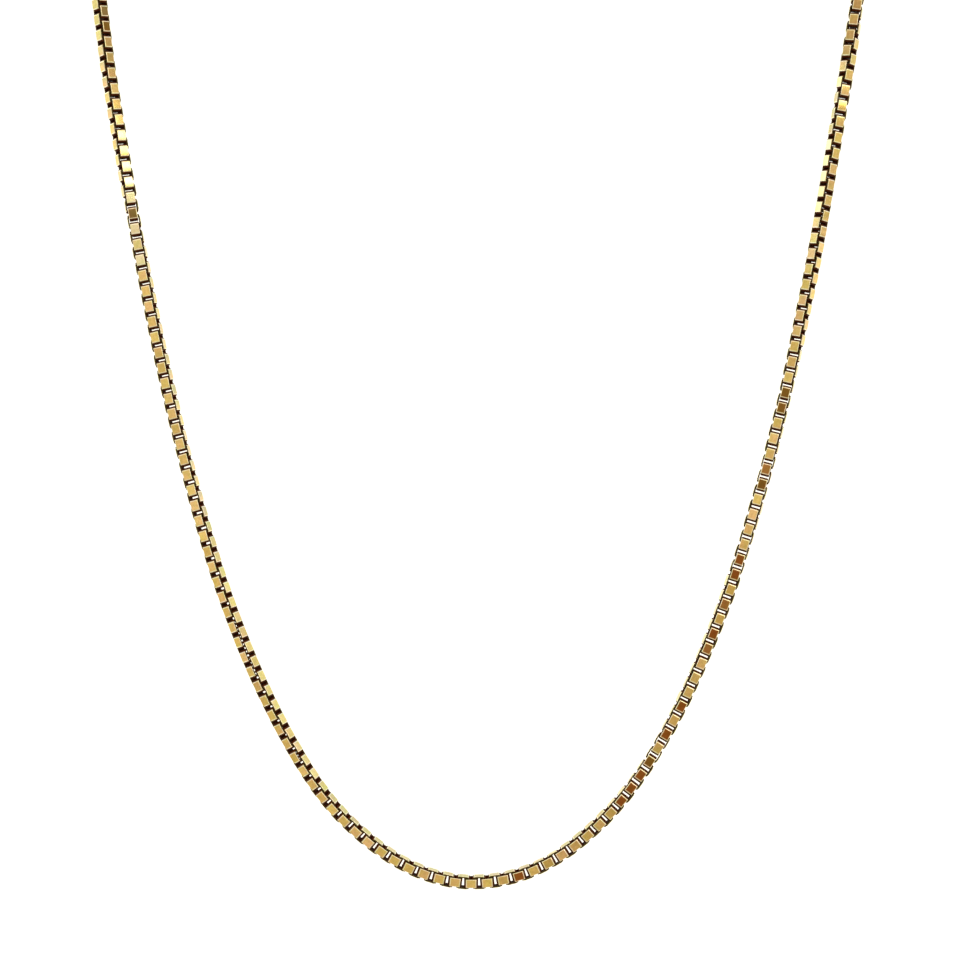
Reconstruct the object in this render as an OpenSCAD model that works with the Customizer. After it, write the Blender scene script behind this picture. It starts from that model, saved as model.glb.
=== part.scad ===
// Box chain necklace, closed and hanging as it does round a neck.
// The front of the loop hangs free as a catenary, a curve each side goes back over the shoulder,
// and the fastening lies straight along X at the nape, with its middle at the origin.
// +X is to the right as seen from the front, -Y is the front and +Z is up.

/* [Necklace] */
// Length of the closed necklace, measured once round the loop
loop_l = 508; // [480:1:560]
// Width of the chain, over the two folded sides of a link
link_w = 1.8; // [1.6:0.05:2.1]
// Length of one link along the chain
link_l = 1.92; // [1.8:0.01:2.0]
// Width of the flat strip that a link is folded from
strip_w = 1.16; // [1.05:0.01:1.22]
// Thickness of that strip
strip_t = 0.24; // [0.2:0.01:0.28]
// Outside radius of the four folds of a link
fold_r = 0.42; // [0.35:0.01:0.5]

/* [How it hangs] */
// Distance between the two points where the chain leaves the shoulders
shoulder_w = 109; // [102:1:116]
// Distance of those points in front of the nape
nape_back = 52; // [44:1:60]
// Height of the nape above those points
nape_rise = 30; // [20:1:38]
// Lean of the hanging front away from plumb, in degrees
chest_tilt = 15; // [8:1:22]
// Reach of the curve's handles over a shoulder, as a share of its span
shoulder_bow = 0.345; // [0.3:0.005:0.45]

/* [Jump rings] */
// Diameter of the round wire
ring_wire = 0.5; // [0.4:0.05:0.5]
// Inside diameter of a jump ring
ring_bore = 2.6; // [2.5:0.1:3.2]

/* [Clasp] */
// Length of the clasp over its loop and eye
clasp_l = 11; // [9:0.5:14]
// Width of the clasp's loop
clasp_w = 5; // [4.4:0.2:6]
// Diameter of the loop's round bar
clasp_bar = 1.3; // [1:0.1:1.5]
// Diameter of the hole in the clasp's eye
eye_bore = 1.5; // [1.3:0.1:2]
// Thickness of the eye's rim
eye_bar = 0.9; // [0.7:0.1:1]

/* [Clearances] */
// Gap between pieces that pull on each other
clearance = 0.08; // [0.06:0.01:0.09]

/* [Hidden] */
GOLD = [0.80, 0.64, 0.36];
$fn = 48;

// How the flats of the chain turn along the hanging front.
// share: distance from the lowest point, over half the front's length, negative on the left
// turn: degrees from square on to the front, towards the inside of the loop
// Columns: [share, turn]
TURNS = [
    [-1.20, 0],
    [-0.90, 48],
    [-0.83, 45],
    [-0.80, 40],
    [-0.77, 38],
    [-0.74, 34],
    [-0.71, 25],
    [-0.69, 18],
    [-0.67, 8],
    [-0.64, -4],
    [-0.59, -12],
    [-0.555, -10],
    [-0.52, -16],
    [-0.48, -6],
    [-0.43, -16],
    [-0.40, -20],
    [-0.37, -29],
    [-0.33, -33],
    [-0.285, -40],
    [-0.25, -33],
    [-0.21, -35],
    [-0.18, -32],
    [-0.13, -19],
    [-0.10, -14],
    [-0.065, -6],
    [-0.03, -6],
    [0.01, -7],
    [0.045, -2],
    [0.085, -4],
    [0.12, -8],
    [0.145, -3],
    [0.19, 6],
    [0.21, 4],
    [0.24, -2],
    [0.28, -4],
    [0.31, -3],
    [0.355, -3],
    [0.38, 8],
    [0.41, 16],
    [0.43, 12],
    [0.455, 7],
    [0.48, 17],
    [0.51, 8],
    [0.53, 11],
    [0.56, 23],
    [0.59, 32],
    [0.63, 40],
    [0.68, 55],
    [0.715, 58],
    [0.735, 64],
    [0.765, 85],
    [0.785, 73],
    [0.805, 51],
    [0.83, 25],
    [0.855, 5],
    [0.90, 0],
];

// The fastening, worked out from the left end link to the right one along X.
ring_r = ring_bore / 2;
ring_mid_r = ring_r + ring_wire / 2;
flat_standoff = ring_r - sqrt(pow(ring_r, 2) - pow(strip_w / 2, 2));
link_to_ring = link_l / 2 - strip_t + ring_r - flat_standoff - clearance;
ring_to_loop = ring_r - clearance - clasp_bar / 2;
ring_to_eye = ring_r - clearance - eye_bar / 2;
eye_mid_l = eye_bore + eye_bar;
loop_mid_l = clasp_l - clasp_bar / 2 - eye_mid_l - eye_bar / 2;
loop_mid_w = clasp_w - clasp_bar;
fastening_l = 2 * link_to_ring + ring_to_loop + loop_mid_l + eye_mid_l + ring_to_eye;
link_x = fastening_l / 2;
ring_x = link_x - link_to_ring;
loop_x = -ring_x + ring_to_loop;

// Directions of the hanging front: up along it, and out of it towards the viewer.
front_up = [0, sin(chest_tilt), cos(chest_tilt)];
front_out = [0, -cos(chest_tilt), sin(chest_tilt)];
shoulder = [shoulder_w / 2, -nape_back, -nape_rise];
nape_end = [link_x, 0, 0];
BOW_STEPS = 60;
SOLVE_STEPS = 40;

function unit(v) = v / norm(v);

// The hanging front: a catenary of parameter a. s is the distance along it from its lowest point.
function front_half_l(a) = let (q = exp(shoulder_w / 2 / a)) a * (q - 1 / q) / 2;
function front_rise(a, s) = sqrt(pow(a, 2) + pow(s, 2)) - a;
function front_side(a, s) = a * ln(s / a + sqrt(pow(s / a, 2) + 1));
function front_heading(a, s) = unit([a, 0, 0] + s * front_up);

// The curve over a shoulder, from the shoulder point to the end link, as a cubic.
function bow_reach() = shoulder_bow * norm(nape_end - shoulder);
function bow_handles(a) = [
    shoulder,
    shoulder + bow_reach() * front_heading(a, front_half_l(a)),
    nape_end + bow_reach() * [1, 0, 0],
    nape_end,
];
function cubic(p, t) =
    pow(1 - t, 3) * p[0] + 3 * t * pow(1 - t, 2) * p[1] + 3 * pow(t, 2) * (1 - t) * p[2] + pow(t, 3) * p[3];
function bow_distances(p) = [
    for (i = 0, far = 0; i <= BOW_STEPS; far = far + norm(cubic(p, (i + 1) / BOW_STEPS) - cubic(p, i / BOW_STEPS)),
        i = i + 1)
        [far, i / BOW_STEPS]
];
function bow_l(p) = bow_distances(p)[BOW_STEPS][0];

// The catenary whose loop, with both curves and the fastening, has the necklace's length.
function loop_length(a) = 2 * front_half_l(a) + 2 * bow_l(bow_handles(a)) + fastening_l;
function solve_catenary(low, high, steps) =
    let (middle = (low + high) / 2)
    steps == 0 ? middle
    : loop_length(middle) > loop_l ? solve_catenary(middle, high, steps - 1)
    : solve_catenary(low, middle, steps - 1);

hang = solve_catenary(shoulder_w / 12, shoulder_w, SOLVE_STEPS);
half_front = front_half_l(hang);
bow = bow_handles(hang);
bow_table = bow_distances(bow);
half_chain = half_front + bow_l(bow);
lowest = [0, -nape_back, -nape_rise] - front_rise(hang, half_front) * front_up;

// A point of the route at distance s from its lowest point, negative on the left.
function front_point(s) = lowest + [front_side(hang, s), 0, 0] + front_rise(hang, s) * front_up;
function bow_point(s) = cubic(bow, lookup(s - half_front, bow_table));
function across(p, s) = [sign(s) * p[0], p[1], p[2]];
function route(s) = abs(s) <= half_front ? front_point(s) : across(bow_point(abs(s)), s);
HEADING_STEP = 0.05;
function heading(s) = unit(route(s + HEADING_STEP) - route(s - HEADING_STEP));

// The way that the flats face: out of the front, and up at the nape, with the turn added.
function past_shoulder(s) = max(0, abs(s) - half_front) / (half_chain - half_front);
function square_on(s) =
    let (t = heading(s), want = (1 - past_shoulder(s)) * front_out + past_shoulder(s) * [0, 0, 1])
    unit(want - (want * t) * t);
function facing(s) =
    let (r = square_on(s), turn = lookup(s / half_front, TURNS))
    cos(turn) * r + sin(turn) * cross(r, heading(s));

// The chain as one closed body: the outline of two crossed links, swept along the route.
// Its rings stand closer at the lowest point and over the shoulders, where the route bends most.
RINGS = 83;
CROWDING = 0.42;
chain_end = half_chain - link_l / 2 - clearance;
function ring_place(q) = chain_end * (q - CROWDING * sin(540 * q) / (3 * PI));
flat_side = link_w / 2;
flat_half = strip_w / 2;
OUTLINE = [
    [flat_side, flat_half],
    [flat_half, flat_side],
    [-flat_half, flat_side],
    [-flat_side, flat_half],
    [-flat_side, -flat_half],
    [-flat_half, -flat_side],
    [flat_half, -flat_side],
    [flat_side, -flat_half],
];
function chain_ring(s) =
    let (p = route(s), f = facing(s), side = cross(f, heading(s)))
    [for (c = OUTLINE) p + c[0] * f + c[1] * side];

module chain() {
    sides = len(OUTLINE);
    points = [for (i = [0 : RINGS - 1]) each chain_ring(ring_place(2 * i / (RINGS - 1) - 1))];
    walls = [
        for (i = [0 : RINGS - 2], j = [0 : sides - 1])
            let (a = i * sides + j, b = i * sides + (j + 1) % sides)
            each [[a, b, b + sides], [a, b + sides, a + sides]]
    ];
    first_cap = [for (j = [sides - 1 : -1 : 0]) j];
    last_cap = [for (j = [0 : sides - 1]) (RINGS - 1) * sides + j];
    color(GOLD) polyhedron(points = points, faces = concat(walls, [first_cap, last_cap]));
}

// Outline of a folded link or of its inside, with round corners.
module rounded_rectangle(length, height, radius) {
    square([length - 2 * radius, height], center = true);
    square([length, height - 2 * radius], center = true);
    for (x = [-1, 1], z = [-1, 1])
        translate([x * (length / 2 - radius), z * (height / 2 - radius)]) circle(r = radius);
}

// One box link: a flat strip folded into a square ring, open along Y.
module box_link() {
    rotate([90, 0, 0])
        linear_extrude(strip_w, center = true)
            difference() {
                rounded_rectangle(link_l, link_w, fold_r);
                rounded_rectangle(link_l - 2 * strip_t, link_w - 2 * strip_t, fold_r - strip_t);
            }
}

module end_link_left() {
    color(GOLD) translate([-link_x, 0, 0]) box_link();
}

module end_link_right() {
    color(GOLD) translate([link_x, 0, 0]) box_link();
}

// Round wire bent to a circle in the XY plane.
module wire_ring(middle_r, wire) {
    rotate_extrude() translate([middle_r, 0]) circle(d = wire);
}

module jump_ring_left() {
    color(GOLD) translate([-ring_x, 0, 0]) wire_ring(ring_mid_r, ring_wire);
}

module jump_ring_right() {
    color(GOLD) translate([ring_x, 0, 0]) wire_ring(ring_mid_r, ring_wire);
}

// The clasp's loop, lying in the XY plane with its left end at x = 0.
module clasp_loop() {
    end_r = loop_mid_w / 2;
    straight = loop_mid_l - loop_mid_w;
    for (end = [0, 1])
        translate([end_r + end * straight, 0, 0])
            rotate([0, 0, end ? -90 : 90])
                rotate_extrude(angle = 180) translate([end_r, 0]) circle(d = clasp_bar);
    for (side = [-1, 1])
        translate([end_r, side * end_r, 0]) rotate([0, 90, 0]) cylinder(d = clasp_bar, h = straight);
}

module clasp() {
    color(GOLD)
        translate([loop_x, 0, 0])
            rotate([90, 0, 0]) {
                clasp_loop();
                translate([loop_mid_l, 0, 0]) sphere(d = clasp_bar);
                translate([loop_mid_l + eye_mid_l / 2, 0, 0]) wire_ring(eye_mid_l / 2, eye_bar);
            }
}

chain();
end_link_left();
end_link_right();
jump_ring_left();
jump_ring_right();
clasp();
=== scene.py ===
import math
import random

import bmesh
import bpy
from mathutils import Matrix, Vector


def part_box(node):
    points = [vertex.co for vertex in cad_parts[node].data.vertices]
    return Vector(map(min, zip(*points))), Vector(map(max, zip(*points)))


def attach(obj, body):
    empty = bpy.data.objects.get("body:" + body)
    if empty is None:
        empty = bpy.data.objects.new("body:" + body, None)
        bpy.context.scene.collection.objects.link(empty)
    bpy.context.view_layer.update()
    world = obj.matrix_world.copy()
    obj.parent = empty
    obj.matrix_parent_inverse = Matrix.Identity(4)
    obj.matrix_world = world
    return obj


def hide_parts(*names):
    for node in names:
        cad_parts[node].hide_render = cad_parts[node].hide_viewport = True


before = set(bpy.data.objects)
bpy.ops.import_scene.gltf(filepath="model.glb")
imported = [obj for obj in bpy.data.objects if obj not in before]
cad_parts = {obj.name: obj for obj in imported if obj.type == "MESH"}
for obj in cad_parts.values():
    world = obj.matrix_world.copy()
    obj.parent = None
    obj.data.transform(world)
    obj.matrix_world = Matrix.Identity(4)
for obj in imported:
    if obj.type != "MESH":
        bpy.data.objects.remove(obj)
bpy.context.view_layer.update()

# The links of the chain. Each is a flat strip of yellow gold folded to a square ring, its
# ends soldered where a neighbour hides them. Links are threaded one through the next, each
# turned a quarter round from the last, and the flats are pressed smooth all along.
MM = 0.001
scene = bpy.context.scene
LINK_W = 1.8 * MM
LINK_L = 1.92 * MM
STRIP_W = 1.16 * MM
STRIP_T = 0.24 * MM
FOLD_R = 0.42 * MM
CUT_EDGE_BEVEL = 0.06 * MM
SQUARE_ON = 0.9
CREASE = math.radians(60)


def faces_sideways(face):
    """Tells the faces that look along Y: the link's open sides, and then its cut edges."""
    return abs(face.normal.y) > SQUARE_ON


def faces_in(face):
    """Tells the inside of the ring from its outer skin."""
    middle = face.calc_center_median()
    return face.normal.dot(Vector((middle.x, 0, middle.z))) < 0


def bevelled(edges, size, segments):
    """Rounds those edges of the link, or breaks them with one segment."""
    bmesh.ops.bevel(
        link, geom=edges, affect="EDGES", offset=size, segments=segments, profile=0.5,
        material=-1, clamp_overlap=False,
    )


# The link lies along X with its strip's width along Y, so that it is open along Y.
link = bmesh.new()
bmesh.ops.create_cube(link, size=1.0)
bmesh.ops.scale(link, vec=(LINK_L, STRIP_W, LINK_W), verts=link.verts)
open_sides = [face for face in link.faces if faces_sideways(face)]
bmesh.ops.delete(link, geom=open_sides, context="FACES_ONLY")
folds = [edge for edge in link.edges if abs(edge.verts[0].co.y - edge.verts[1].co.y) > STRIP_W / 2]
bevelled(folds, FOLD_R, 2)
bmesh.ops.solidify(link, geom=link.faces[:], thickness=STRIP_T)
bmesh.ops.recalc_face_normals(link, faces=link.faces)
rims = [
    edge for edge in link.edges
    if any(faces_sideways(face) for face in edge.link_faces)
    and any(not faces_sideways(face) and not faces_in(face) for face in edge.link_faces)
]
bevelled(rims, CUT_EDGE_BEVEL, 1)

# How dark each part of a link is made: the pressed flats stay bright, the cut edges dull with
# tarnish and painted shade, and the inside of the ring darkest, with dirt and oxide and painted
# shade where the links shade each other. The place on the link is kept too, from -1 to 1 along
# it, across its strip and through it.
CUT_EDGE_DARK = 0.6
INSIDE_DARK = 1.0
HALF_SIZES = (LINK_L / 2, STRIP_W / 2, LINK_W / 2)
darkness = link.loops.layers.float.new("darkness")
on_link = link.verts.layers.float_vector.new("on_link")
for vert in link.verts:
    vert[on_link] = [vert.co[axis] / HALF_SIZES[axis] for axis in range(3)]
for face in link.faces:
    face.smooth = True
    for loop in face.loops:
        if faces_sideways(face):
            loop[darkness] = CUT_EDGE_DARK
        elif faces_in(face):
            loop[darkness] = INSIDE_DARK
for edge in link.edges:
    edge.smooth = edge.calc_face_angle(0.0) < CREASE
link_mesh = bpy.data.meshes.new("one_link")
link.to_mesh(link_mesh)
link.free()

# The way that the necklace hangs: the front is a catenary that leans back from plumb, a
# cubic curve each side goes over the shoulder, and the fastening lies along X at the nape.
LOOP_L = 508 * MM
SHOULDER_W = 109 * MM
NAPE_BACK = 52 * MM
NAPE_RISE = 30 * MM
SHOULDER = Vector((SHOULDER_W / 2, -NAPE_BACK, -NAPE_RISE))
CHEST_TILT = math.radians(15)
SHOULDER_BOW = 0.345
end_link_low, end_link_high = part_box("end_link_right")
NAPE_END = Vector(((end_link_low[0] + end_link_high[0]) / 2, 0, 0))
FRONT_UP = Vector((0, math.sin(CHEST_TILT), math.cos(CHEST_TILT)))
FRONT_OUT = Vector((0, -math.cos(CHEST_TILT), math.sin(CHEST_TILT)))
ACROSS = Vector((1, 0, 0))
BOW_STEPS = 60
DROOP_RANGE = (SHOULDER_W / 12, SHOULDER_W)
SOLVE_STEPS = 40


def cubic(handles, t):
    """A point of the curve over the shoulder."""
    a, b, c, d = handles
    return (1 - t) ** 3 * a + 3 * t * (1 - t) ** 2 * b + 3 * t ** 2 * (1 - t) * c + t ** 3 * d


def hang_with(droop):
    """Half the front's length, the handles of the shoulder's curve and the distances along it."""
    half = droop * math.sinh(SHOULDER_W / 2 / droop)
    leaving = (ACROSS * droop + FRONT_UP * half).normalized()
    reach = SHOULDER_BOW * (NAPE_END - SHOULDER).length
    handles = (SHOULDER, SHOULDER + reach * leaving, NAPE_END + reach * ACROSS, NAPE_END)
    distances = [0.0]
    for i in range(BOW_STEPS):
        step = cubic(handles, (i + 1) / BOW_STEPS) - cubic(handles, i / BOW_STEPS)
        distances.append(distances[-1] + step.length)
    return half, handles, distances


# The catenary's parameter is found by halving, so that the whole loop has its length.
low, high = DROOP_RANGE
for _ in range(SOLVE_STEPS):
    droop = (low + high) / 2
    half_front, handles, distances = hang_with(droop)
    if 2 * (half_front + distances[-1] + NAPE_END.x) > LOOP_L:
        low = droop
    else:
        high = droop
half_chain = half_front + distances[-1]
LOWEST = Vector((0, SHOULDER.y, SHOULDER.z)) - (math.hypot(droop, half_front) - droop) * FRONT_UP


def between(table, x):
    """The value at x of a table with the columns x and value, in rising order."""
    for (x0, y0), (x1, y1) in zip(table, table[1:]):
        if x <= x1:
            return y0 + (y1 - y0) * max(0.0, x - x0) / (x1 - x0)
    return table[-1][1]


bow_table = [(distances[i], i / BOW_STEPS) for i in range(BOW_STEPS + 1)]


def route(s):
    """The point at distance s from the lowest one, negative towards -X."""
    if abs(s) <= half_front:
        side = droop * math.asinh(s / droop)
        return LOWEST + side * ACROSS + (math.hypot(droop, s) - droop) * FRONT_UP
    point = cubic(handles, between(bow_table, abs(s) - half_front))
    return Vector((math.copysign(point.x, s), point.y, point.z))


# How the flats turn along the hanging front, as the chain has twisted on the neck.
# Columns: distance from the lowest point as a share of half the front's length, negative
# towards -X; degrees from square on, towards the inside of the loop
TURNS = (
    (-1.20, 0), (-0.90, 48), (-0.83, 45), (-0.80, 40), (-0.77, 38), (-0.74, 34), (-0.71, 25),
    (-0.69, 18), (-0.67, 8), (-0.64, -4), (-0.59, -12), (-0.555, -10), (-0.52, -16), (-0.48, -6),
    (-0.43, -16), (-0.40, -20), (-0.37, -29), (-0.33, -33), (-0.285, -40), (-0.25, -33),
    (-0.21, -35), (-0.18, -32), (-0.13, -19), (-0.10, -14), (-0.065, -6), (-0.03, -6), (0.01, -7),
    (0.045, -2), (0.085, -4), (0.12, -8), (0.145, -3), (0.19, 6), (0.21, 4), (0.24, -2), (0.28, -4),
    (0.31, -3), (0.355, -3), (0.38, 8), (0.41, 16), (0.43, 12), (0.455, 7), (0.48, 17), (0.51, 8),
    (0.53, 11), (0.56, 23), (0.59, 32), (0.63, 40), (0.68, 55), (0.715, 58), (0.735, 64), (0.765, 85),
    (0.785, 73), (0.805, 51), (0.83, 25), (0.855, 5), (0.90, 0),
)
HEADING_STEP = 0.05 * MM
# The chain strays a little from a true catenary where links bind. Columns: distance as above;
# millimetres towards the outside of the loop
SWAYS = (
    (-1.57, 0.0), (-0.85, 0.15), (-0.80, 0.27), (-0.76, 0.19), (-0.69, 0.07), (-0.60, -0.02),
    (-0.445, -0.07), (-0.36, 0.03), (-0.24, -0.03), (-0.20, 0.03), (-0.15, 0.23), (-0.13, 0.20),
    (-0.10, 0.10), (-0.08, 0.10), (-0.05, 0.14), (-0.012, 0.14), (0.01, 0.07), (0.075, 0.0),
    (0.105, -0.10), (0.15, 0.0), (0.19, 0.05), (0.21, 0.0), (0.30, -0.05), (0.35, 0.02),
    (0.55, 0.02), (0.59, -0.03), (0.63, 0.02), (0.715, -0.10), (0.75, -0.07), (0.82, 0.07),
    (1.57, 0.0),
)


def placed(s):
    """The turned and moved frame of a link: X along the chain, Z the way its flats face."""
    heading = (route(s + HEADING_STEP) - route(s - HEADING_STEP)).normalized()
    past = max(0.0, abs(s) - half_front) / (half_chain - half_front)
    want = (1 - past) * FRONT_OUT + past * Vector((0, 0, 1))
    square_on = (want - want.dot(heading) * heading).normalized()
    turn = math.radians(between(TURNS, s / half_front))
    facing = math.cos(turn) * square_on + math.sin(turn) * square_on.cross(heading)
    side = facing.cross(heading)
    rows = Matrix((heading, side, facing)).transposed().to_4x4()
    sway = between(SWAYS, s / half_front) * MM * heading.cross(FRONT_OUT)
    return Matrix.Translation(route(s) + sway) @ rows


# The links' places. The end links of the fastening are the first and the last of the row.
STEPS = 460
PITCH = 2 * half_chain / STEPS
# The play of each link in the next has settled unevenly. Columns: distance from the lowest
# point as a share of half the front's length; the links' shift along the chain in mm
SLIPS = (
    (-1.57, 0.0), (-0.80, -1.27), (-0.60, -1.22), (-0.45, -1.34), (-0.37, -1.27), (-0.285, -1.12),
    (-0.22, -0.93), (-0.13, -0.80), (-0.065, -0.64), (0.0, -0.49), (0.055, -0.32), (0.12, -0.12),
    (0.16, 0.02), (0.19, 0.17), (0.225, 0.24), (0.28, 0.27), (0.315, 0.34), (0.36, 0.33),
    (0.45, 0.28), (0.60, 0.27), (0.715, 0.27), (0.76, 0.42), (0.82, 0.48), (1.57, 0.0),
)
QUARTER_TURN = Matrix.Rotation(math.pi / 2, 4, "X")
# How far a link rocks in its neighbours, about the chain and across it
TWIST = math.radians(3.0)
LOOSE = math.radians(1.0)

# The flats with a tint of their own. Most carry a film of oxide; links 128, 132, 134 and 136 are
# painted paler, as painted highlights, and links 108 to 112 and 350 to 358 are made darker.
# Columns: number of the link in the row, tint. Each tint multiplies the gold's red, green and blue.
TINTED_FLATS = {
    104: "olive", 106: "bronze", 108: "darkened", 110: "darkened", 112: "darkened", 128: "pale",
    130: "olive", 132: "pale", 134: "straw", 136: "pale", 236: "copper", 252: "copper", 254: "copper",
    256: "copper", 258: "bronze", 262: "copper", 266: "copper", 274: "brown", 276: "copper",
    280: "brown", 284: "copper", 286: "copper", 296: "bronze", 298: "brown", 306: "bronze",
    308: "bronze", 350: "darkened", 352: "darkened", 354: "darkened", 356: "darkened", 358: "darkened",
}
FLAT_TINTS = {
    "copper": (0.41, 0.20, 0.11), "bronze": (0.31, 0.22, 0.12), "brown": (0.54, 0.37, 0.28),
    "olive": (0.38, 0.36, 0.34), "pale": (1.22, 1.58, 2.6), "straw": (1.15, 1.38, 1.7),
    "darkened": (0.74, 0.70, 0.73),
}
# The front flats are brighter or darker along the chain. Columns: distance from the lowest point
# as a share of half the front's length, brightness
TONES = (
    (-0.64, 1.0), (-0.58, 1.17), (-0.50, 0.98), (-0.45, 1.02), (-0.41, 1.19), (-0.33, 1.20),
    (-0.25, 1.02), (-0.165, 1.17), (-0.09, 1.08), (0.0, 1.08), (0.08, 1.0), (0.24, 0.95),
    (0.32, 1.13), (0.40, 1.15), (0.48, 1.03), (0.56, 0.97), (0.64, 1.0),
)
SHADE = 0.93
# Each link strays from that a little: paler or darker, with what a pale one gains in red, green
# and blue, and towards olive or rose. The links that face the side stray less.
PALE_SPREAD = 0.3
PALE_GAINS = (0.41, 0.45, 0.79)
SIDE_LINK_SHARE = 0.6
OLIVE_SPREAD = (-0.04, 0.05)
OLIVE_LOSS = 2.5
FLATS_WEIGHT = 56
random.seed(12)


def rocked():
    """A link's own small turn in its neighbours, about each of its axes."""
    turn = Matrix.Identity(4)
    for axis, give in (("X", TWIST), ("Y", LOOSE), ("Z", LOOSE)):
        turn = turn @ Matrix.Rotation(random.uniform(-give, give), 4, axis)
    return turn


def link_tone(i, share):
    """What multiplies the gold of link i, at that share of half the front's length."""
    shade, spread = SHADE, SIDE_LINK_SHARE
    if i % 2 == 0:
        shade, spread = SHADE * between(TONES, share), 1.0
    pale = random.uniform(-PALE_SPREAD, PALE_SPREAD) * spread
    olive = random.uniform(*OLIVE_SPREAD)
    # Some links take a film of oxide, a painted highlight or a darker tint instead.
    if i in TINTED_FLATS:
        return FLAT_TINTS[TINTED_FLATS[i]]
    red, green, blue = [shade * (1 + gain * pale) for gain in PALE_GAINS]
    return red, green * (1 + olive), blue * (1 - OLIVE_LOSS * olive)


def finished(shape, name):
    """Ends a bmesh and puts it in the scene as one piece."""
    mesh = bpy.data.meshes.new(name)
    shape.to_mesh(mesh)
    shape.free()
    piece = bpy.data.objects.new(name, mesh)
    scene.collection.objects.link(piece)
    return piece


def length_of_chain(name, first, last):
    """One length of the chain: the links of the row from first up to last, as one piece."""
    row = bmesh.new()
    tint = row.verts.layers.float_color.new("tint")
    for i in range(first, last):
        even = (i - STEPS / 2) * PITCH
        share = even / half_front
        quarter = QUARTER_TURN if i % 2 else Matrix.Identity(4)
        place = placed(even + between(SLIPS, share) * MM) @ quarter @ rocked()
        row.from_mesh(link_mesh)
        row.verts.ensure_lookup_table()
        new = row.verts[-len(link_mesh.vertices):]
        bmesh.ops.transform(row, matrix=place, verts=new)
        tone = link_tone(i, share)
        for vert in new:
            vert[tint] = (*tone, 1.0)
    piece = finished(row, name)
    # The normals follow the large faces, so that the flats mirror as flats.
    weighted = piece.modifiers.new("flats_stay_flat", "WEIGHTED_NORMAL")
    weighted.keep_sharp = True
    weighted.weight = FLATS_WEIGHT
    weighted.thresh = 0.0
    return piece


# The gold of the links, from the worn flats to the dirt inside them, with painted highlights on
# the rims and the starts of the folds, and painted shade on the folds, the cut edges and inside
# the ring. The places where a finish begins and is full are shares of half a link's length, or
# of half its strip's width.
GOLD = (0.80, 0.60, 0.25, 1)
# Pale cream on the rims and the starts of the folds: worn polish, and a painted highlight where the
# rounded edges would mirror the bright room.
BUFFED_HIGHLIT_GOLD = (0.93, 0.88, 0.68, 1)
# Dark olive of the cut edges: their dull tarnish, and painted shade.
CUT_GOLD = (0.052, 0.037, 0.009, 1)
# Near black inside the rings: dirt and oxide, and painted shade where the links shade each other.
DIRT_AND_SHADE = (0.052, 0.0115, 0.002, 1)
SCUFF_TONES = ((0.90, 0.90, 0.90, 1), (1.08, 1.08, 1.08, 1))
BLOOM_TONES = ((1.035, 0.98, 1.04, 1), (0.965, 1.015, 0.91, 1))
# Where the rims and fold starts turn cream, as wear and painted highlight.
BUFFED_HIGHLIT_FOLD = (0.55, 0.66)
BUFFED_HIGHLIT_RIM = (0.84, 0.92)
# Where the folds turn away towards the link's ends, they are painted dark as painted shade.
SHADED_FOLD = (0.70, 0.80)
# How far into each flat its link's tint reaches, the painted highlights of some links among them.
TINT_ENDS = (0.60, 0.68)
TINT_SIDES = (0.82, 0.86)
FLAT_ROUGHNESS = 0.15
BUFFED_ROUGHNESS = 0.50
DIRT_ROUGHNESS = 0.65
DIRT_FULLY_ROUGH = 0.8
DIRT_SPECULAR = 0.04
SCRATCH_SIZE = 0.35 * MM
SCRATCH_RANGE = (0.3, 0.7)
SCRATCH_DEPTH = 0.02 * MM
BLOOM_SIZE = 0.9 * MM
BLOOM_RANGE = (0.35, 0.65)


class Nodes:
    """The nodes of a material or of the room, with short ways to add and join them."""

    def __init__(self, owner):
        owner.use_nodes = True
        self.tree = owner.node_tree

    def add(self, kind, settings=(), **sockets):
        """A node of that kind. A socket is set to a value or joined to another node's output."""
        node = self.tree.nodes.new("ShaderNode" + kind)
        for key, value in dict(settings).items():
            setattr(node, key, value)
        for key, value in sockets.items():
            self.feed(node, key, value)
        return node

    def feed(self, node, key, value):
        """Sets a node's socket, named or numbered as in_0, or joins an output to it."""
        socket = node.inputs[int(key[3:]) if key.startswith("in_") else key.replace("_", " ")]
        if isinstance(value, bpy.types.NodeSocket):
            self.tree.links.new(value, socket)
        else:
            socket.default_value = value


class Surface(Nodes):
    """A new material with the Principled shader."""

    def __init__(self, name):
        self.material = bpy.data.materials.new(name)
        super().__init__(self.material)
        self.shader = self.tree.nodes["Principled BSDF"]


def ramp(nodes, value, low, high, to_low=0.0, to_high=1.0):
    """The output of a smooth step from to_low at low to to_high at high."""
    return nodes.add(
        "MapRange", {"interpolation_type": "SMOOTHSTEP"}, Value=value, From_Min=low, From_Max=high,
        To_Min=to_low, To_Max=to_high,
    ).outputs["Result"]


def blended(nodes, factor, first, second, how="MIX"):
    """The output of a mix of two colours."""
    return nodes.add(
        "Mix", {"data_type": "RGBA", "blend_type": how}, in_0=factor, in_6=first, in_7=second,
    ).outputs[2]


def calculated(nodes, how, first, second=0.0):
    """The output of one sum on one or two values."""
    return nodes.add("Math", {"operation": how}, in_0=first, in_1=second).outputs["Value"]


def of_vectors(nodes, how, first, second=(0, 0, 0), result="Vector"):
    """The output of one sum on one or two vectors."""
    return nodes.add("VectorMath", {"operation": how}, in_0=first, in_1=second).outputs[result]


def blotches(nodes, spot, size, detail):
    """The output of a random pattern with features of about that size."""
    return nodes.add("TexNoise", Vector=spot, Scale=1 / size, Detail=detail).outputs["Fac"]


def scratched(surface, scratches, strength):
    """Lets shallow scratches bend the light on a surface."""
    surface.feed(surface.shader, "Normal", surface.add(
        "Bump", Strength=strength, Distance=SCRATCH_DEPTH, Height=scratches,
    ).outputs["Normal"])


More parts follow.
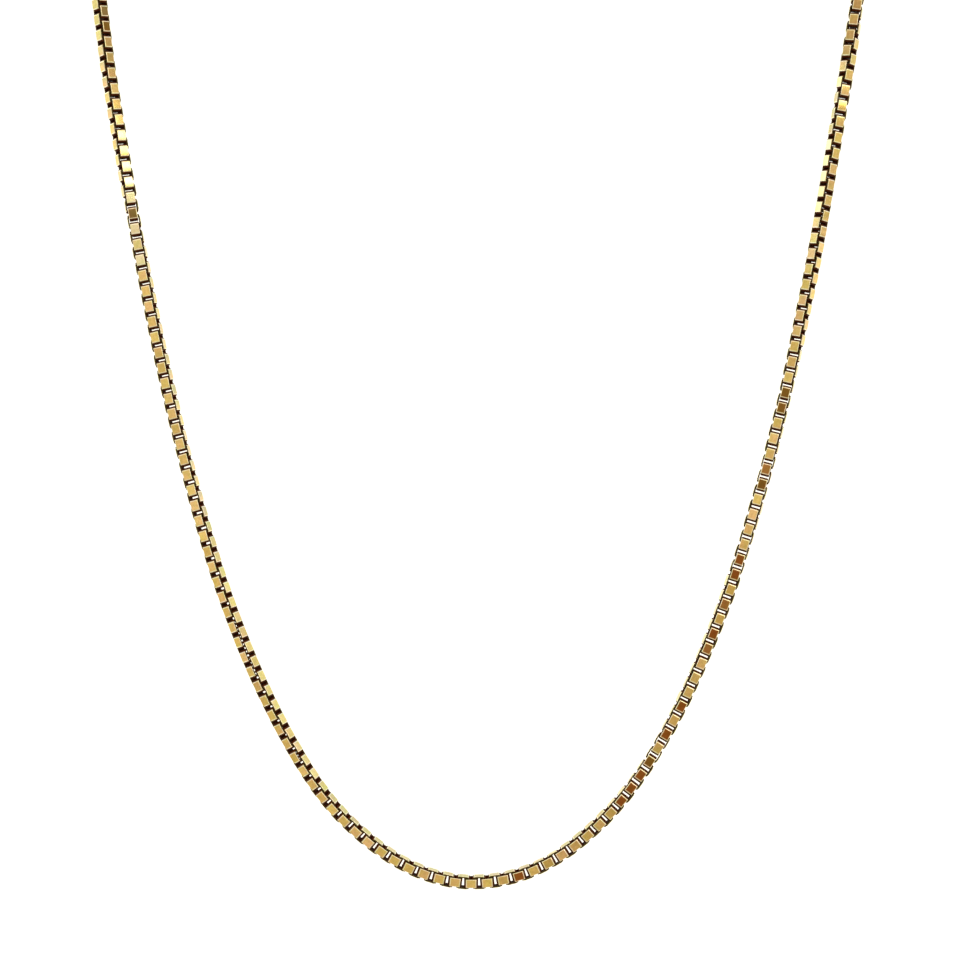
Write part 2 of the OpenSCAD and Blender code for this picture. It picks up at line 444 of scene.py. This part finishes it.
gold = Surface("pressed_yellow_gold")
on_link = gold.add("Attribute", {"attribute_name": "on_link"}).outputs["Vector"]
from_middle = gold.add("SeparateXYZ", Vector=of_vectors(gold, "ABSOLUTE", on_link))
along, across = from_middle.outputs["X"], from_middle.outputs["Y"]
kept_dark = gold.add("Attribute", {"attribute_name": "darkness"}).outputs["Fac"]
# The painted shade on the folds joins the darkness kept on each face.
dark = calculated(gold, "MAXIMUM", kept_dark, ramp(gold, along, *SHADED_FOLD))
# The rims and fold starts, worn and painted with a highlight.
buffed_and_highlit = calculated(gold, "MAXIMUM", ramp(gold, along, *BUFFED_HIGHLIT_FOLD), ramp(gold, across, *BUFFED_HIGHLIT_RIM))
# Where a flat takes its link's tint, which on some links is a painted highlight.
flat_tint_mask = calculated(
    gold, "MULTIPLY", ramp(gold, along, *TINT_ENDS, 1, 0), ramp(gold, across, *TINT_SIDES, 1, 0),
)
tinted = gold.add("Attribute", {"attribute_name": "tint"}).outputs["Color"]
spot = gold.add("TexCoord").outputs["Object"]
scratches = blotches(gold, spot, SCRATCH_SIZE, detail=3.0)
bloom = blotches(gold, spot, BLOOM_SIZE, detail=1.0)

# The base colour: wear with painted highlights on the rims and fold starts, then the cut edges, folds
# and inside painted dark as tarnish, dirt and painted shade, then each flat's own tint.
wear_and_painted_light = blended(gold, buffed_and_highlit, GOLD, BUFFED_HIGHLIT_GOLD)
wear_and_painted_light = blended(gold, ramp(gold, dark, 0.0, CUT_EDGE_DARK), wear_and_painted_light, CUT_GOLD)
wear_and_painted_light = blended(gold, ramp(gold, dark, CUT_EDGE_DARK, INSIDE_DARK), wear_and_painted_light, DIRT_AND_SHADE)
wear_and_painted_light = blended(gold, flat_tint_mask, wear_and_painted_light, blended(gold, 1.0, wear_and_painted_light, tinted, "MULTIPLY"))
for pattern, limits, tones in (
    (scratches, SCRATCH_RANGE, SCUFF_TONES), (bloom, BLOOM_RANGE, BLOOM_TONES),
):
    uneven = blended(gold, ramp(gold, pattern, *limits), *tones)
    wear_and_painted_light = blended(gold, 1.0, wear_and_painted_light, uneven, "MULTIPLY")
gold.feed(gold.shader, "Base_Color", wear_and_painted_light)
gold.feed(gold.shader, "Metallic", ramp(gold, dark, CUT_EDGE_DARK / 2, CUT_EDGE_DARK, 1.0, 0.0))
gold.feed(gold.shader, "Roughness", calculated(
    gold, "MAXIMUM", ramp(gold, dark, 0.0, DIRT_FULLY_ROUGH, FLAT_ROUGHNESS, DIRT_ROUGHNESS),
    ramp(gold, buffed_and_highlit, 0.0, 1.0, FLAT_ROUGHNESS, BUFFED_ROUGHNESS),
))
gold.feed(gold.shader, "Specular_IOR_Level", DIRT_SPECULAR)
scratched(gold, scratches, strength=0.1)
chain_gold = gold.material

# The row is kept as four lengths that meet at the lowest point and near the shoulders.
LENGTHS = (
    ("chain_nape_left", 1, 80), ("chain_front_left", 80, 230),
    ("chain_front_right", 230, 381), ("chain_nape_right", 381, 460),
)
for name, first, last in LENGTHS:
    piece = length_of_chain(name, first, last)
    piece.data.materials.append(chain_gold)
    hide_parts("chain")
    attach(piece, "root")


# The two end links. They are the same folded links, the first and the last of the row,
# and each hooks round a jump ring of the fastening.
for name, first in (("end_link_left", 0), ("end_link_right", STEPS)):
    piece = length_of_chain(name + "_folded", first, first + 1)
    piece.data.materials.append(chain_gold)
    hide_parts(name)
    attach(piece, "root")


# The jump rings. Each is round gold wire bent to a ring and soldered shut, and it joins an
# end link to the clasp.
CLASP_GOLD = (0.80, 0.63, 0.31, 1)
CLASP_DULL = (0.68, 0.51, 0.22, 1)
# Dark brown on inner sides and in the clasp's groove: tarnish and dirt, and painted shade.
CLASP_TARNISH_AND_SHADE = (0.20, 0.10, 0.03, 1)
RUB_ROUGHNESS = 0.10
HAZE_ROUGHNESS = (0.24, 0.12)
BROWNED_ROUGHNESS = 0.25
FULLY_INWARDS = -0.9


def inner_side(surface, spot, middle, squeeze=1.0):
    """Where a ring or a loop round a middle faces inwards: tarnish stays there, where a cloth doesn't
    reach, and painted shade is laid there.
    """
    away = of_vectors(surface, "SUBTRACT", spot, middle)
    away = of_vectors(surface, "MULTIPLY", away, (squeeze, 1, 1))
    away = of_vectors(surface, "NORMALIZE", away)
    facing = surface.add("NewGeometry").outputs["Normal"]
    outwards = of_vectors(surface, "DOT_PRODUCT", away, facing, "Value")
    return ramp(surface, outwards, FULLY_INWARDS, 0.0, 1.0, 0.0)


def polished_gold(surface, spot, browned_and_shaded):
    """Polished gold with rubs and haze, browned with tarnish and painted shade where its third
    argument is 1.
    """
    rub = blotches(surface, spot, SCRATCH_SIZE, detail=4.0)
    haze = blotches(surface, spot, BLOOM_SIZE, detail=2.0)
    handled = blended(surface, ramp(surface, haze, *BLOOM_RANGE), CLASP_DULL, CLASP_GOLD)
    surface.feed(surface.shader, "Base_Color", blended(surface, browned_and_shaded, handled, CLASP_TARNISH_AND_SHADE))
    surface.feed(surface.shader, "Metallic", 1.0)
    rubs_and_haze = calculated(
        surface, "ADD", ramp(surface, rub, *SCRATCH_RANGE, 0.0, RUB_ROUGHNESS),
        ramp(surface, haze, *BLOOM_RANGE, *HAZE_ROUGHNESS),
    )
    surface.feed(surface.shader, "Roughness", calculated(
        surface, "ADD", rubs_and_haze, calculated(surface, "MULTIPLY", browned_and_shaded, BROWNED_ROUGHNESS),
    ))
    scratched(surface, rub, strength=0.2)
    return surface.material


for name in ("jump_ring_left", "jump_ring_right"):
    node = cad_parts[name]
    ring_low, ring_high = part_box(name)
    ring_middle = [(a + b) / 2 for a, b in zip(ring_low, ring_high)]
    wire = Surface(name + "_gold")
    spot = wire.add("TexCoord").outputs["Object"]
    node.data.materials.clear()
    # The ring's inner side is browned with tarnish and painted shade.
    node.data.materials.append(polished_gold(wire, spot, inner_side(wire, spot, ring_middle)))


# The clasp, cast in gold as one plain loop with a small eye. The groove where the eye is joined
# to the loop is painted dark with dirt and painted shade, and both are browned with tarnish and
# painted shade on their inner sides.
CLASP_LOOP_L = 8.8 * MM
CLASP_EYE_W = 3.3 * MM
# The loop is an oval, so what lies along it counts less towards where its inner side faces.
LOOP_SQUEEZE = 0.45
GROOVE_W = 0.6 * MM
JOIN_BLEND = 0.1 * MM
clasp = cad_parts["clasp"]
clasp_low, clasp_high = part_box("clasp")
loop_middle = (clasp_low[0] + CLASP_LOOP_L / 2, 0, 0)
eye_middle = (clasp_high[0] - CLASP_EYE_W / 2, 0, 0)
groove_x = clasp_low[0] + CLASP_LOOP_L
cast = Surface("clasp_gold")
spot = cast.add("TexCoord").outputs["Object"]
along_clasp = cast.add("SeparateXYZ", Vector=spot).outputs["X"]
of_eye = ramp(cast, along_clasp, groove_x - JOIN_BLEND, groove_x + JOIN_BLEND)
in_loop = inner_side(cast, spot, loop_middle, LOOP_SQUEEZE)
in_eye = inner_side(cast, spot, eye_middle)
from_groove = calculated(cast, "ABSOLUTE", calculated(cast, "SUBTRACT", along_clasp, groove_x))
in_groove = ramp(cast, from_groove, 0.0, GROOVE_W / 2, 1.0, 0.0)
# The inner sides and the groove are painted dark: tarnish and dirt, and painted shade.
browned_and_shaded = calculated(cast, "MAXIMUM", blended(cast, of_eye, in_loop, in_eye), in_groove)
clasp.data.materials.clear()
clasp.data.materials.append(polished_gold(cast, spot, browned_and_shaded))


# The floor, the light and the camera. The floor is plain and pale, the light soft and from
# above, with the dimmer side of the room behind the camera.
FLOOR_Z = -0.26
FLOOR_HALF = 6.0
FLOOR_COLOUR = (0.70, 0.70, 0.695, 1)
FLOOR_ROUGHNESS = 0.9


def level_sheet(name, half_size, middle):
    """A square sheet that lies level round a middle."""
    sheet = bmesh.new()
    bmesh.ops.create_grid(sheet, x_segments=1, y_segments=1, size=half_size)
    bmesh.ops.translate(sheet, vec=middle, verts=sheet.verts)
    return finished(sheet, name)


floor_piece = level_sheet("floor", FLOOR_HALF, (0, 0, FLOOR_Z))
paper = Surface("white_paper")
paper.feed(paper.shader, "Base_Color", FLOOR_COLOUR)
paper.feed(paper.shader, "Roughness", FLOOR_ROUGHNESS)
floor_piece.data.materials.append(paper.material)

# A dull card hides the floor's front half from the gold, which would mirror it too brightly.
CARD_HALF = 3.0
CARD_BACK = -0.1
CARD_LIFT = 1 * MM
CARD_COLOUR = (0.76, 0.653, 0.449, 1)
card_piece = level_sheet("dull_card", CARD_HALF, (0, CARD_BACK - CARD_HALF, FLOOR_Z + CARD_LIFT))
for kind in ("camera", "diffuse", "transmission", "volume_scatter", "shadow"):
    setattr(card_piece, "visible_" + kind, False)
dull = Surface("dull_card_paper")
dull.feed(dull.shader, "Base_Color", (0, 0, 0, 1))
dull.feed(dull.shader, "Specular_IOR_Level", 0)
dull.feed(dull.shader, "Emission_Color", CARD_COLOUR)
dull.feed(dull.shader, "Emission_Strength", 1.0)
card_piece.data.materials.append(dull.material)

# The room as the gold mirrors it. It is dimmest in front, a little to the right of the camera,
# and a diffuser hangs overhead. Columns: degrees away from the dim side, light from there
DIM_SIDE = (0.139, -0.990, 0.035)
ROOM_PEAK = 1.3
ROOM_LIGHT = (
    (152, (0.97, 1.06, 1.04)), (133, (0.87, 1.02, 1.10)), (104, (1.18, 1.27, 1.26)),
    (80, (0.84, 0.76, 0.585)), (32, (0.88, 0.77, 0.578)), (14, (0.67, 0.55, 0.367)),
)
DIFFUSER_COLOUR = (0.93, 0.79, 0.55, 1)
DIFFUSER_RANGE = (0.45, 0.9)
scene.world = bpy.data.worlds.new("room")
room = Nodes(scene.world)
look = room.add("TexCoord").outputs["Generated"]
toward = of_vectors(room, "DOT_PRODUCT", look, DIM_SIDE, "Value")
share = room.add("MapRange", Value=toward, From_Min=-1.0).outputs["Result"]
by_angle = room.add("ValToRGB", Fac=share)
stops = by_angle.color_ramp.elements
while len(stops) < len(ROOM_LIGHT):
    stops.new(0.5)
for stop, (angle, light) in zip(stops, ROOM_LIGHT):
    stop.position = (1 + math.cos(math.radians(angle))) / 2
    stop.color = (*(channel / ROOM_PEAK for channel in light), 1)
upward = room.add("SeparateXYZ", Vector=look).outputs["Z"]
overhead = ramp(room, upward, *DIFFUSER_RANGE)
sky = room.tree.nodes["Background"]
room.feed(sky, "Color", blended(room, overhead, by_angle.outputs["Color"], DIFFUSER_COLOUR))
room.feed(sky, "Strength", ROOM_PEAK)

# The backdrop is white paper, which the camera sees in every direction above the floor.
backdrop = room.add("Background", Color=(1, 1, 1, 1))
in_camera = room.add("LightPath").outputs["Is Camera Ray"]
seen = room.add("MixShader", in_0=in_camera, in_1=sky.outputs[0], in_2=backdrop.outputs[0])
room.feed(room.tree.nodes["World Output"], "Surface", seen.outputs[0])

# Two soft boxes. Columns: name, place, aimed at, width, height, power in watts
LAMP_COLOUR = (1.0, 0.883, 0.68)
SOFT_BOXES = (
    ("soft_box_front_right", (0.887, -0.951, 0.635), (-0.04, -0.06, -0.05), 0.85, 0.33, 5.3),
    ("soft_box_back_left", (-1.28, 0.74, 0.26), (0.04, -0.06, -0.05), 0.95, 0.42, 3.0),
)
for name, place, aim, width, height, power in SOFT_BOXES:
    lamp = bpy.data.lights.new(name, "AREA")
    lamp.shape = "RECTANGLE"
    lamp.size, lamp.size_y = width, height
    lamp.energy = power
    lamp.color = LAMP_COLOUR
    box = bpy.data.objects.new(name, lamp)
    scene.collection.objects.link(box)
    box.visible_camera = False
    box.location = place
    box.rotation_euler = (Vector(aim) - Vector(place)).to_track_quat("-Z", "Y").to_euler()

# A wide light overhead lights the floor evenly, and the gold doesn't mirror it.
WASH_POWER = 2.4
WASH_SPREAD = math.radians(120)
wash = bpy.data.lights.new("wash_overhead", "SUN")
wash.energy = WASH_POWER
wash.angle = WASH_SPREAD
wash_piece = bpy.data.objects.new("wash_overhead", wash)
scene.collection.objects.link(wash_piece)
wash_piece.visible_glossy = False

# The camera looks square at the leaning front, at a point above its lowest link, and leans
# a quarter of a degree.
SENSOR = 36.0
VIEW_WIDTH = 130.9 * MM
VIEW_DISTANCE = 309 * MM
AIM_UP = 54.71 * MM
AIM_ASIDE = 0.49 * MM
AIM = LOWEST + AIM_UP * FRONT_UP + AIM_ASIDE * ACROSS
LEAN = math.radians(0.24)
NEAREST = 10 * MM
camera = bpy.data.cameras.new("camera")
camera.sensor_width = SENSOR
camera.lens = SENSOR * VIEW_DISTANCE / VIEW_WIDTH
camera.clip_start = NEAREST
camera_piece = bpy.data.objects.new("camera", camera)
scene.collection.objects.link(camera_piece)
sight = Matrix((ACROSS, FRONT_UP, FRONT_OUT)).transposed().to_4x4()
camera_piece.matrix_world = (
    Matrix.Translation(AIM + VIEW_DISTANCE * FRONT_OUT) @ sight @ Matrix.Rotation(LEAN, 4, "Z")
)
scene.camera = camera_piece
scene.view_settings.view_transform = "Standard"
scene.view_settings.look = "None"
